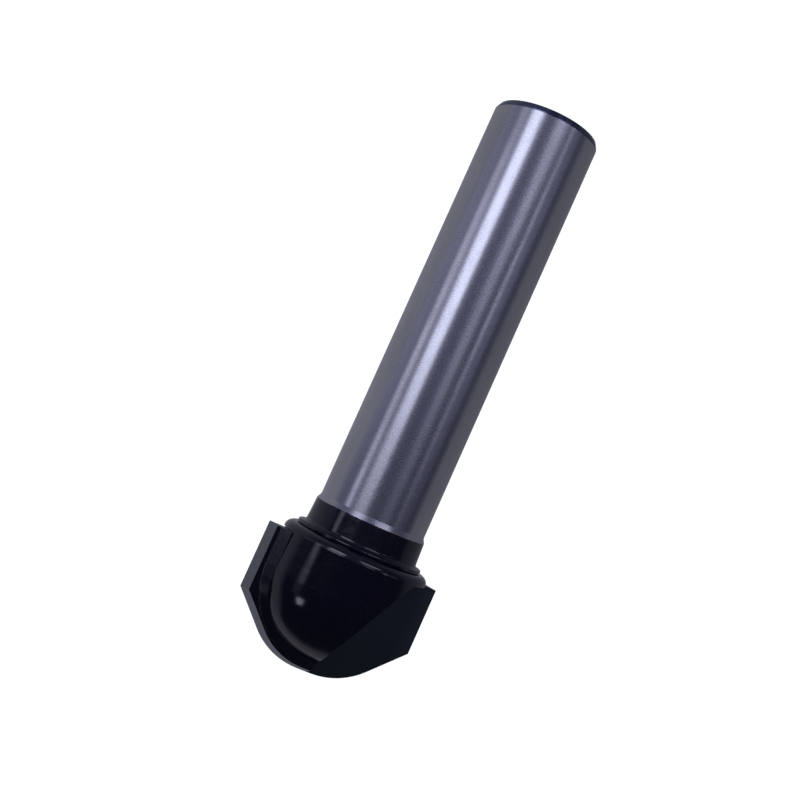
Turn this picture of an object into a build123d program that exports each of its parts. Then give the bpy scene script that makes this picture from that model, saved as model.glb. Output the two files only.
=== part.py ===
from build123d import *
import math
import os

# Two-flute router bit with brazed carbide tips, a rounded nose and 45 degree flanks.
# It stands on its shank end: the axis is Z, the shank end is at z = 0 and the nose is on top.
# Tip 1 is on the +X side. Its rake face lies in the plane Y = 0 and looks along +Y, so the tool
# cuts when it turns clockwise as seen from the shank end. Tip 2 is half a turn round.

# shank and neck
shank_radius = 6.35
shank_length = 49.7
end_chamfer_depth = 0.3
end_chamfer_height = 0.6
flare_length = 0.6
flare_step = 0.28
neck_step = 0.14
neck_length = 2.85

# stepped collar between the neck and the head
collar_step = 0.76
collar_height = 0.51
collar_root_radius = 0.42
collar_edge_radius = 0.2
groove_depth = 0.12
groove_height = 0.1

# head: a round-ended core
body_step = 1.17
core_swell = 0.25
shoulder_height = 1.09
shoulder_edge_radius = 0.95
core_end_radius = 11.6
core_edge_radius = 7.6
core_setback = 1.72

# cutting form of the carbide tips
cutting_radius = 10.55
tip_length = 14.05
corner_height = 6.15
flank_angle = 45.0
nose_radius = 8.5
clearance_angle = 18.0
tip_thickness = 2.1
inner_edge_angle = 30.0
inner_edge_start = 1.5

# seats and the wings that back the tips
braze_gap = 0.1
wing_backing = 0.9
wing_recess = 1.14
wing_end_radius = 9.2
wing_setback = 0.8
wing_slope_angle = 48.0
floor_drop = 0.1

# flutes
web_half = 0.25
flute_top_reach = 5.9
flute_straight_end = 4.25
flute_wall_radius = 27.0
flute_end_gap = 0.1
flute_corner_radius = 0.5

# radii that follow from the shank, each a step up from the one before
flare_radius = shank_radius + flare_step
neck_radius = flare_radius + neck_step
collar_radius = neck_radius + collar_step
body_radius = collar_radius + body_step
core_radius = body_radius + core_swell
wing_reach = cutting_radius - wing_recess
# levels along the axis
neck_top = shank_length + neck_length
collar_top = neck_top + collar_height
tip_base = collar_top + shoulder_height
nose_level = tip_base + tip_length
core_apex = nose_level - core_setback
wing_apex = nose_level - wing_setback
beyond = cutting_radius + 5.0  # cuts run this far past the tool


def rake_plane(turn, depth=0.0):
    """Plane of a rake face, turned about the tool's axis, and moved back by depth."""
    angle = math.radians(turn)
    normal = Vector(math.sin(angle), -math.cos(angle), 0)
    return Plane(origin=normal * depth, x_dir=(math.cos(angle), math.sin(angle), 0), z_dir=normal)


def clearance_form(turn, depth):
    """Solid bounded by the cutting outline, which shrinks behind the rake face by the clearance."""
    flank = math.radians(flank_angle)
    nose_flat = (
        cutting_radius
        - corner_height * math.tan(flank)
        + nose_radius * ((1 - math.sin(flank)) * math.tan(flank) - math.cos(flank))
    )
    base = tip_base - beyond
    with BuildPart() as form:
        with BuildSketch(rake_plane(turn)):
            with BuildLine():
                flat = Line((-beyond, nose_level), (nose_flat, nose_level))
                nose = JernArc(flat @ 1, flat % 1, nose_radius, flank_angle - 90)
                slope = Line(nose @ 1, (cutting_radius, nose_level - corner_height))
                Polyline(slope @ 1, (cutting_radius, base), (-beyond, base), flat @ 0)
            make_face()
        extrude(amount=depth, taper=clearance_angle)
    return form.part


def wing_form(turn, start, depth, slope=0.0):
    """Solid bounded by the round-ended outline of a wing, which slopes in behind its start."""
    with BuildPart() as form:
        with BuildSketch(rake_plane(turn, start)):
            with BuildLine():
                flat = Line((-beyond, wing_apex), (wing_reach - wing_end_radius, wing_apex))
                end = JernArc(flat @ 1, flat % 1, wing_end_radius, -90)
                base = tip_base - beyond
                Polyline(end @ 1, (wing_reach, base), (-beyond, base), flat @ 0)
            make_face()
        extrude(amount=depth, taper=slope)
    return form.part


def tip_plan(turn, gap, start, depth):
    """Prism over the plan of a tip: straight end by the axis, slanted inner edge, square top."""
    slant = math.radians(inner_edge_angle)
    knee = nose_level - inner_edge_start - gap / math.sin(slant)
    inner_reach = (knee - tip_base) * math.tan(slant) - web_half
    with BuildPart() as prism:
        with BuildSketch(rake_plane(turn, start)):
            with BuildLine():
                Polyline(
                    (-web_half, nose_level + 1),
                    (-web_half, knee),
                    (inner_reach, tip_base),
                    (beyond, tip_base),
                    (beyond, nose_level + 1),
                    close=True,
                )
            make_face()
        extrude(amount=depth)
    return prism.part


def seat(turn):
    """Pocket for a tip and its braze, open at the rake face and at the clearance faces."""
    return tip_plan(turn, braze_gap, -floor_drop, tip_thickness + braze_gap + floor_drop)


def carbide_tip(turn):
    with BuildPart() as tip:
        add(clearance_form(turn, tip_thickness))
        add(tip_plan(turn, 0, 0, tip_thickness), mode=Mode.INTERSECT)
    return tip


def braze_film(turn, tip):
    """Thin film behind the tip and along its inner edge."""
    with BuildPart() as film:
        add(wing_form(turn, 0, tip_thickness))
        add(wing_form(turn, tip_thickness, braze_gap, wing_slope_angle))
        add(
            tip_plan(turn, braze_gap, floor_drop, tip_thickness + braze_gap - floor_drop),
            mode=Mode.INTERSECT,
        )
        add(tip.part, mode=Mode.SUBTRACT)
    return film


def flute(turn):
    """Cut in front of the rake face that lies half a turn from the given one."""
    with BuildPart() as cut:
        with BuildSketch(rake_plane(turn, -floor_drop)) as plan:
            with BuildLine():
                top = tip_base - flute_end_gap
                knee = nose_level - flute_straight_end
                wall = RadiusArc((-flute_top_reach, top), (-web_half, knee), -flute_wall_radius)
                Polyline(
                    wall @ 1,
                    (-web_half, nose_level + 1),
                    (-beyond, nose_level + 1),
                    (-beyond, top),
                    wall @ 0,
                )
            make_face()
            corner = plan.vertices().sort_by_distance((-flute_top_reach, top))[0]
            fillet(corner, flute_corner_radius)
        extrude(amount=beyond)
    return cut.part


def wing(turn):
    """Steel that backs a tip, with a sloped edge that falls away to the core."""
    depth = braze_gap + wing_backing
    with BuildPart() as plate:
        add(wing_form(turn, tip_thickness, depth, wing_slope_angle))
        with BuildSketch(rake_plane(turn, tip_thickness)):
            with Locations((-web_half, tip_base)):
                Rectangle(beyond, tip_length, align=(Align.MIN, Align.MIN))
        extrude(amount=depth, mode=Mode.INTERSECT)
    return plate.part


# shank, neck, collar and core, turned in one piece
land_end = core_apex - core_end_radius + math.sqrt(core_end_radius**2 - core_radius**2)
with BuildPart() as tool_body:
    with BuildSketch(Plane.XZ) as turned:
        with BuildLine():
            side = Polyline(
                (0, 0),
                (shank_radius - end_chamfer_depth, 0),
                (shank_radius, end_chamfer_height),
                (shank_radius, shank_length - flare_length),
                (flare_radius, shank_length),
                (neck_radius, neck_top),
                (collar_radius, neck_top),
                (collar_radius, collar_top - groove_height),
                (collar_radius - groove_depth, collar_top),
                (body_radius, collar_top),
                (core_radius, land_end),
            )
            cap = RadiusArc(side @ 1, (0, core_apex), -core_end_radius)
            Line(cap @ 1, side @ 0)
        make_face()
        for corner, radius in (
            ((neck_radius, neck_top), collar_root_radius),
            ((collar_radius, neck_top), collar_edge_radius),
            ((body_radius, collar_top), shoulder_edge_radius),
            ((core_radius, land_end), core_edge_radius),
        ):
            fillet(turned.vertices().sort_by_distance(corner)[0], radius)
    revolve(axis=Axis.Z)

    # a wing behind each tip, then the flutes and the tip seats
    for turn in (0, 180):
        add(wing(turn))
    for turn in (0, 180):
        add(flute(turn), mode=Mode.SUBTRACT)
        add(seat(turn), mode=Mode.SUBTRACT)
tool_body.part.label = "tool_body"
pieces = [tool_body]

# carbide tips, each on its film of braze
for number, turn in ((1, 0), (2, 180)):
    tip = carbide_tip(turn)
    tip.part.label = f"carbide_tip_{number}"
    film = braze_film(turn, tip)
    film.part.label = f"braze_film_{number}"
    pieces += [tip, film]

os.makedirs("parts", exist_ok=True)
for piece in pieces:
    export_step(piece.part, f"parts/{piece.part.label}.step")
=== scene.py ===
import math

import bpy
from mathutils import Matrix

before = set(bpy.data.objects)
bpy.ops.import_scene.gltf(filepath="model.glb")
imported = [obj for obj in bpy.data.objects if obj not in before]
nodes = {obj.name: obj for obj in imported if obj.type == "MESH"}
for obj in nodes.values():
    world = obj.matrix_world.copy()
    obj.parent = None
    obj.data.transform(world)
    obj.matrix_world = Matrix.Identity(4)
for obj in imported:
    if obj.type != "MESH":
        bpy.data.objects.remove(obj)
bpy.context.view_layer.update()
bpy.ops.object.select_all(action="DESELECT")
print("loaded", len(nodes), "solids")


class Wire:
    def __init__(self, tree, socket=None):
        self.tree = tree
        self.socket = socket

    def node(self, kind, setup=None, links=None, out=0):  # one node, and a wire from an output
        made = self.tree.nodes.new(kind)
        for name, value in (setup or {}).items():
            if name == "stops":
                ramp = made.color_ramp
                while len(ramp.elements) < len(value):
                    ramp.elements.new(0.5)
                for element, (place, colour) in zip(ramp.elements, value):
                    element.position, element.color = place, (*colour, 1)
            else:
                setattr(made, name, value)
        for name, value in (links or {}).items():
            if isinstance(value, Wire):
                self.tree.links.new(value.socket, made.inputs[name])
            else:
                made.inputs[name].default_value = value
        return None if out is None else Wire(self.tree, made.outputs[out])

    def maths(self, operation, *values):
        return self.node("ShaderNodeMath", {"operation": operation}, dict(enumerate(values)))

    def __add__(self, other):
        return self.maths("ADD", self, other)

    def __radd__(self, other):
        return self.maths("ADD", other, self)

    def __sub__(self, other):
        return self.maths("SUBTRACT", self, other)

    def __rsub__(self, other):
        return self.maths("SUBTRACT", other, self)

    def __mul__(self, other):
        return self.maths("MULTIPLY", self, other)

    def __rmul__(self, other):
        return self.maths("MULTIPLY", other, self)

    def __truediv__(self, other):
        return self.maths("DIVIDE", self, other)

    def __pow__(self, other):
        return self.maths("POWER", self, other)

    def __abs__(self):
        return self.maths("ABSOLUTE", self)

    def step(self, low, high):  # 0 below low, 1 above high, smooth between
        limits = {"Value": self, "From Min": low, "From Max": high}
        return self.node("ShaderNodeMapRange", {"interpolation_type": "SMOOTHSTEP"}, limits)

    def mix(self, first, second):  # colours, mixed by this wire
        links = {"Factor": self, 6: first, 7: second}
        return self.node("ShaderNodeMix", {"data_type": "RGBA"}, links, 2)

    def noise(self, place, scale, detail=2.0, rough=0.5):
        links = {"Vector": place, "Scale": scale, "Detail": detail, "Roughness": rough}
        return self.node("ShaderNodeTexNoise", {}, links)

    def bump(self, relief, depth, strength):
        links = {"Strength": strength, "Distance": depth, "Height": relief}
        return self.node("ShaderNodeBump", {}, links)

    def stretched(self, place, along):  # a vector, scaled along each axis
        return self.node("ShaderNodeVectorMath", {"operation": "MULTIPLY"}, {0: place, 1: along})


def freshMaterial(name):
    material = bpy.data.materials.new(name)
    material.use_nodes = True
    material.node_tree.nodes.clear()
    return material, Wire(material.node_tree)


def objectPlace(wire):  # object coordinates in millimetres
    place = wire.node("ShaderNodeTexCoord", out=3)
    return wire.stretched(place, (1000, 1000, 1000))


def axes(wire, place):
    split = wire.node("ShaderNodeSeparateXYZ", {}, {"Vector": place})
    outs = split.socket.node.outputs
    return [Wire(wire.tree, outs[i]) for i in range(3)]


def dress(node, material):
    for slot in nodes[node].material_slots:
        slot.material = material


# tool body: bright ground shank, black coated neck, collar and head; lengths in millimetres
body = {
    "steelColour": (0.54, 0.54, 0.58, 1),
    "steelWorn": (0.46, 0.46, 0.50, 1),
    "steelRoughness": 0.24,
    "wornRoughness": 0.06,
    "grain": 0.6,  # anisotropy, with the lines round the shank
    "grainTurn": 0.25,
    "grindStretch": (0.12, 0.12, 1.0),
    "grindPitch": 22.0,
    "grindDepth": 0.00002,
    "grindStrength": 0.07,
    "cloudStretch": (0.25, 0.25, 0.06),
    "cloudPitch": 2.0,
    "chamferTop": 0.75,
    "chamferBlend": 0.03,
    "chamferColour": (0.075, 0.085, 0.14, 1),
    "chamferPale": (0.14, 0.16, 0.24, 1),
    "coatStart": 49.7,
    "coatBlend": 0.03,
    "coatWander": 0.25,
    "coatColour": (0.0008, 0.0006, 0.0045, 1),
    "coatDusty": (0.003, 0.0025, 0.007, 1),
    "coatRoughness": 0.11,  # neck
    "coatSoft": 0.13,  # head
    "dustyRoughness": 0.05,
    "coatIndex": 1.55,
    "ripplePitch": 0.7,
    "rippleDepth": 0.000014,
}


def bodyMaterial():
    material, wire = freshMaterial("groundAndCoatedSteel")
    place = objectPlace(wire)
    z = axes(wire, place)[2]

    # shank
    lines = wire.noise(wire.stretched(place, body["grindStretch"]), body["grindPitch"], 3, 0.7)
    cloud = wire.noise(wire.stretched(place, body["cloudStretch"]), body["cloudPitch"], 3, 0.6)
    worn = (lines * 0.6 + cloud * 0.4).step(0.40, 0.66)
    steel = worn.mix(body["steelColour"], body["steelWorn"])
    chamfer = cloud.step(0.35, 0.65).mix(body["chamferColour"], body["chamferPale"])
    isEnd = 1 - z.step(body["chamferTop"] - body["chamferBlend"], body["chamferTop"])
    steel = isEnd.mix(steel, chamfer)
    bump = wire.bump(lines, body["grindDepth"], body["grindStrength"])
    ground = wire.node("ShaderNodeBsdfPrincipled", {}, {
        "Base Color": steel,
        "Metallic": 1.0,
        "Roughness": body["steelRoughness"] + worn * body["wornRoughness"],
        "Anisotropic": body["grain"],
        "Anisotropic Rotation": body["grainTurn"],
        "Normal": bump,
    })

    # black coat
    dusty = wire.noise(place, 3.0, 4, 0.6).step(0.5, 0.75)
    black = dusty.mix(body["coatColour"], body["coatDusty"])
    ripple = wire.noise(place, body["ripplePitch"], 2, 0.5)
    soft = body["coatRoughness"] + z.step(53.0, 56.0) * (body["coatSoft"] - body["coatRoughness"])
    coat = wire.node("ShaderNodeBsdfPrincipled", {}, {
        "Base Color": black,
        "Metallic": 0.0,
        "Roughness": soft + dusty * body["dustyRoughness"],
        "IOR": body["coatIndex"],
        "Normal": wire.bump(ripple, body["rippleDepth"], 1.0),
    })

    wander = wire.noise(wire.stretched(place, (1, 1, 0.2)), 0.6, 2, 0.5)
    edge = z + (wander - 0.5) * body["coatWander"]
    start, blend = body["coatStart"], body["coatBlend"]
    isCoat = edge.step(start - blend, start + blend)
    both = wire.node("ShaderNodeMixShader", {}, {0: isCoat, 1: ground, 2: coat})
    wire.node("ShaderNodeOutputMaterial", {}, {"Surface": both}, None)
    return material


# carbide tips: fine ground faces, with painted shade darkening the rake face and, further, the
# back, and a painted highlight paling the rake face near the cutting edge; lengths in millimetres
carbide = {
    "colour": (0.25, 0.26, 0.285, 1),
    "streakColour": (0.195, 0.205, 0.225, 1),
    # painted shade: the rake face's colour is darkened
    "rakePaintedShade": (0.075, 0.090, 0.102, 1),
    # painted highlight: a paler rim on the rake face near the cutting edge, over the reach below
    "rakeEdgePaintedHighlight": (0.11, 0.127, 0.142, 1),
    "rakeHighlightReach": (8.6, 10.4),
    "rakeBehind": (0.02, 0.06),
    # painted shade: the back face of the tip is darkened in its colour
    "backPaintedShade": (0.03, 0.036, 0.055, 1),
    "backStart": (2.06, 2.09),
    "roughness": 0.30,
    "streakRoughness": 0.06,
    "grindDepth": 0.00002,
    "grindStrength": 0.08,
}


def carbideMaterial():
    material, wire = freshMaterial("groundCarbide")
    place = objectPlace(wire)
    x, y = axes(wire, place)[:2]
    streak = wire.noise(wire.stretched(place, (1, 1, 6)), 3.0, 3, 0.6)
    colour = streak.step(0.35, 0.65).mix(carbide["colour"], carbide["streakColour"])
    # painted highlight near the cutting edge, mixed into the rake face's painted shade
    isPaintedHighlight = abs(x).step(*carbide["rakeHighlightReach"])
    rakeShadeAndHighlight = isPaintedHighlight.mix(carbide["rakePaintedShade"], carbide["rakeEdgePaintedHighlight"])
    # the rake face (y near 0) takes this painted shade and painted highlight
    colour = abs(y).step(*carbide["rakeBehind"]).mix(rakeShadeAndHighlight, colour)
    # painted shade on the back face, beyond the braze seat depth
    colour = abs(y).step(*carbide["backStart"]).mix(colour, carbide["backPaintedShade"])
    shader = wire.node("ShaderNodeBsdfPrincipled", {}, {
        "Base Color": colour,
        "Metallic": 1.0,
        "Roughness": carbide["roughness"] + streak * carbide["streakRoughness"],
        "Normal": wire.bump(streak, carbide["grindDepth"], carbide["grindStrength"]),
    })
    wire.node("ShaderNodeOutputMaterial", {}, {"Surface": shader}, None)
    return material


# braze: dull silver solder in patches
braze = {
    "colour": (0.10, 0.095, 0.085, 1),
    "dull": (0.05, 0.048, 0.045, 1),
    "roughness": 0.45,
    "patchRoughness": 0.15,
}


def brazeMaterial():
    material, wire = freshMaterial("silverSolder")
    patch = wire.noise(objectPlace(wire), 2.5, 3, 0.6)
    shader = wire.node("ShaderNodeBsdfPrincipled", {}, {
        "Base Color": patch.step(0.4, 0.6).mix(braze["colour"], braze["dull"]),
        "Metallic": 1.0,
        "Roughness": braze["roughness"] + patch * braze["patchRoughness"],
    })
    wire.node("ShaderNodeOutputMaterial", {}, {"Surface": shader}, None)
    return material


dress("tool_body", bodyMaterial())
tipMaterial = carbideMaterial()
dress("carbide_tip_1", tipMaterial)
dress("carbide_tip_2", tipMaterial)
filmMaterial = brazeMaterial()
dress("braze_film_1", filmMaterial)
dress("braze_film_2", filmMaterial)
print("materials done")

# camera: turned about the tool's axis, tipped down and rolled
view = {
    "lens": 51.78,
    "place": (0.03287, -0.12696, 0.0428),
    "turn": 13.40,
    "tip": 3.022,
    "roll": 204.22,
    "sensor": 36,
    "clip": (0.005, 20),
}
cameraData = bpy.data.cameras.new("camera")
camera = bpy.data.objects.new("camera", cameraData)
bpy.context.scene.collection.objects.link(camera)
cameraData.lens = view["lens"]
cameraData.sensor_width = view["sensor"]
cameraData.clip_start, cameraData.clip_end = view["clip"]
turn = Matrix.Rotation(math.radians(view["turn"]), 4, "Z")
tip = Matrix.Rotation(math.radians(90 - view["tip"]), 4, "X")
roll = Matrix.Rotation(math.radians(view["roll"]), 4, "Z")
camera.matrix_world = Matrix.Translation(view["place"]) @ turn @ tip @ roll
bpy.context.scene.camera = camera
print("camera done")

# studio: pale floor, white backdrop, and a dome with soft panels that only the tool mirrors
studio = {
    "floorSize": 6.0,
    "floorColour": (0.9, 0.9, 0.9, 1),
    "floorRoughness": 0.9,
    "backdrop": 1.05,
    "floorGlow": 1.0,
    "tint": (0.62, 0.64, 1.0, 1),
    "panelTint": (0.78, 0.80, 1.0, 1),
    "backTint": (0.83, 0.845, 1.0, 1),
    "frontLow": 0.21,
    "frontSide": 0.095,
    "frontHigh": 0.055,
    "backLeft": 0.305,
    "backRight": 0.18,
    "frontFade": (-5, 1),  # degrees of height over which the front gets darker
    "sideFade": (0.1, 0.9),
    "backEdge": 0.12,
    "backSides": 0.4,
    "backLean": 0.3,  # how far the back draws away overhead
    "backLeanRise": (25, 60),
    "panelGlow": (0.1, 1.0),
    # in degrees, azimuth from the camera's side, half width and softness,
    # then the same for the height, and the strength
    "panels": [
        ((-29, 11.5, 3), (-15.5, 11, 3), 1.5),
        ((-28.5, 11.5, 4), (-8, 3, 3), 1.9),
        ((-28.5, 13, 5), (-33, 7, 4), 3.2),
        ((-45, 5, 5), (-13, 11, 5), 0.17),
        ((-58, 4.5, 7), (-2, 6, 3), 1.2),
        ((-57, 8, 5), (-13, 7, 5), 0.65),
        ((-80, 10, 4), (-9, 12, 4), 0.21),
        ((-60, 7, 5), (11, 9, 5), 0.2),
        ((-51.5, 5, 7), (28.5, 3.6, 5), 4.0),
        ((29, 17, 6), (-34, 5, 6), 3.2),
        ((25, 8, 4), (-14.5, 9, 4), 0.5),
        ((52.5, 3.2, 3), (-11.5, 7, 3), 1.0),
        ((66, 8, 4), (-11, 7, 4), 0.25),
    ],
}
bpy.ops.mesh.primitive_plane_add(size=studio["floorSize"], location=(0, 0, 0))
floor = bpy.context.object
floor.name = "floor"
floor.visible_glossy = False
floor.visible_shadow = False
floorMaterial, wire = freshMaterial("paleFloor")
shader = wire.node("ShaderNodeBsdfPrincipled", {}, {
    "Base Color": studio["floorColour"],
    "Roughness": studio["floorRoughness"],
    "Emission Color": (1, 1, 1, 1),
    "Emission Strength": studio["floorGlow"],
})
wire.node("ShaderNodeOutputMaterial", {}, {"Surface": shader}, None)
floor.data.materials.append(floorMaterial)


def window(distance, half, soft):  # 1 within the half width, 0 outside
    return 1 - abs(distance).step(half - soft / 2, half + soft / 2)


world = bpy.data.worlds.new("studio")
bpy.context.scene.world = world
world.use_nodes = True
world.node_tree.nodes.clear()
wire = Wire(world.node_tree)
direction = wire.node("ShaderNodeTexCoord", out=0)
dx, dy, dz = axes(wire, direction)
towards = math.radians(view["turn"])
ahead = dx * math.sin(towards) - dy * math.cos(towards)
aside = dx * -math.cos(towards) - dy * math.sin(towards)
azimuth = wire.maths("ARCTAN2", aside, ahead) * (180 / math.pi)
height = wire.maths("ARCSINE", dz) * (180 / math.pi)
sideways = aside.step(-studio["backSides"], studio["backSides"])
lean = studio["backLean"] * height.step(*studio["backLeanRise"])
back = (-1.0 * ahead - lean).step(-studio["backEdge"], studio["backEdge"])
toSide = aside.step(*studio["sideFade"])
low = studio["frontLow"] + toSide * (studio["frontSide"] - studio["frontLow"])
front = low + height.step(*studio["frontFade"]) * (studio["frontHigh"] - low)
behind = studio["backLeft"] + sideways * (studio["backRight"] - studio["backLeft"])
glow = front + back * (behind - front)
for (az, wide, softAcross), (el, tall, softUp), power in studio["panels"]:
    across = window(azimuth - az, wide, softAcross)
    glow = glow + across * window(height - el, tall, softUp) * power
lit = glow.step(*studio["panelGlow"]).mix(studio["tint"], studio["panelTint"])
tone = back.mix(lit, studio["backTint"])
mirrored = wire.node("ShaderNodeBackground", {}, {"Color": tone, "Strength": glow})
white = {"Color": (1, 1, 1, 1), "Strength": studio["backdrop"]}
seen = wire.node("ShaderNodeBackground", {}, white)
isCamera = wire.node("ShaderNodeLightPath", out=0)
either = wire.node("ShaderNodeMixShader", {}, {0: isCamera, 1: mirrored, 2: seen})
wire.node("ShaderNodeOutputWorld", {}, {"Surface": either}, None)
bpy.context.scene.view_settings.view_transform = "Standard"
print("studio done")
